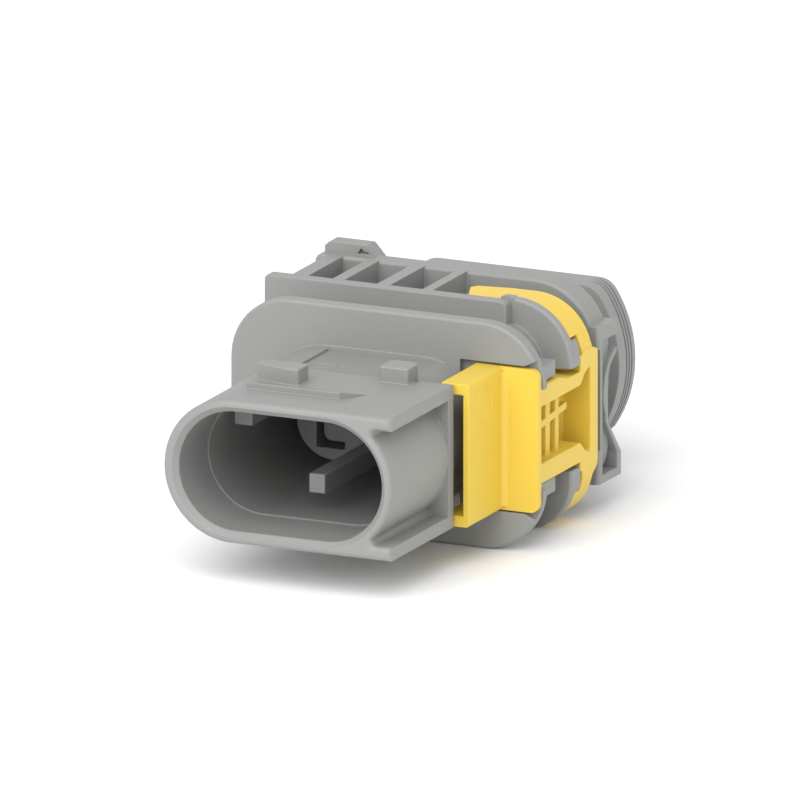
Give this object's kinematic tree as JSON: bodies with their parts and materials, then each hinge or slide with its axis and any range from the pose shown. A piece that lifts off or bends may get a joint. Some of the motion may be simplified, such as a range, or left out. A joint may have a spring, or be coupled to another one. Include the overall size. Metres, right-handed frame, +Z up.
{
  "type": "sealed automotive connector",
  "caption": "Sealed wire-to-wire connector housing with an oval mating shroud, sliding secondary lock on one side and round seals at the wire end.",
  "frame": {"origin": "centre of the mating shroud's mouth, in the plane of its front edge", "axes": "+Y from the mating mouth towards the wire end, +Z up towards the raised stop on the flanges, +X towards the side with the yellow lock"},
  "size_m": [0.0343, 0.0577, 0.0245],
  "materials": {
    "housing": "fine moulded grey",
    "lock": "fine moulded yellow",
    "seal": "smooth silicone rubber, brown-red"
  },
  "bodies": {
    "housing": {"housing": "housing", "wire_seal_left": "seal", "wire_seal_right": "seal"},
    "secondary_lock": {"secondary_lock": "lock"}
  },
  "joints": [
    {"name": "lock_slide", "type": "slide", "parent": "housing", "child": "secondary_lock", "axis": [1, 0, 0], "range_m": [-0.0015, 0]}
  ]
}
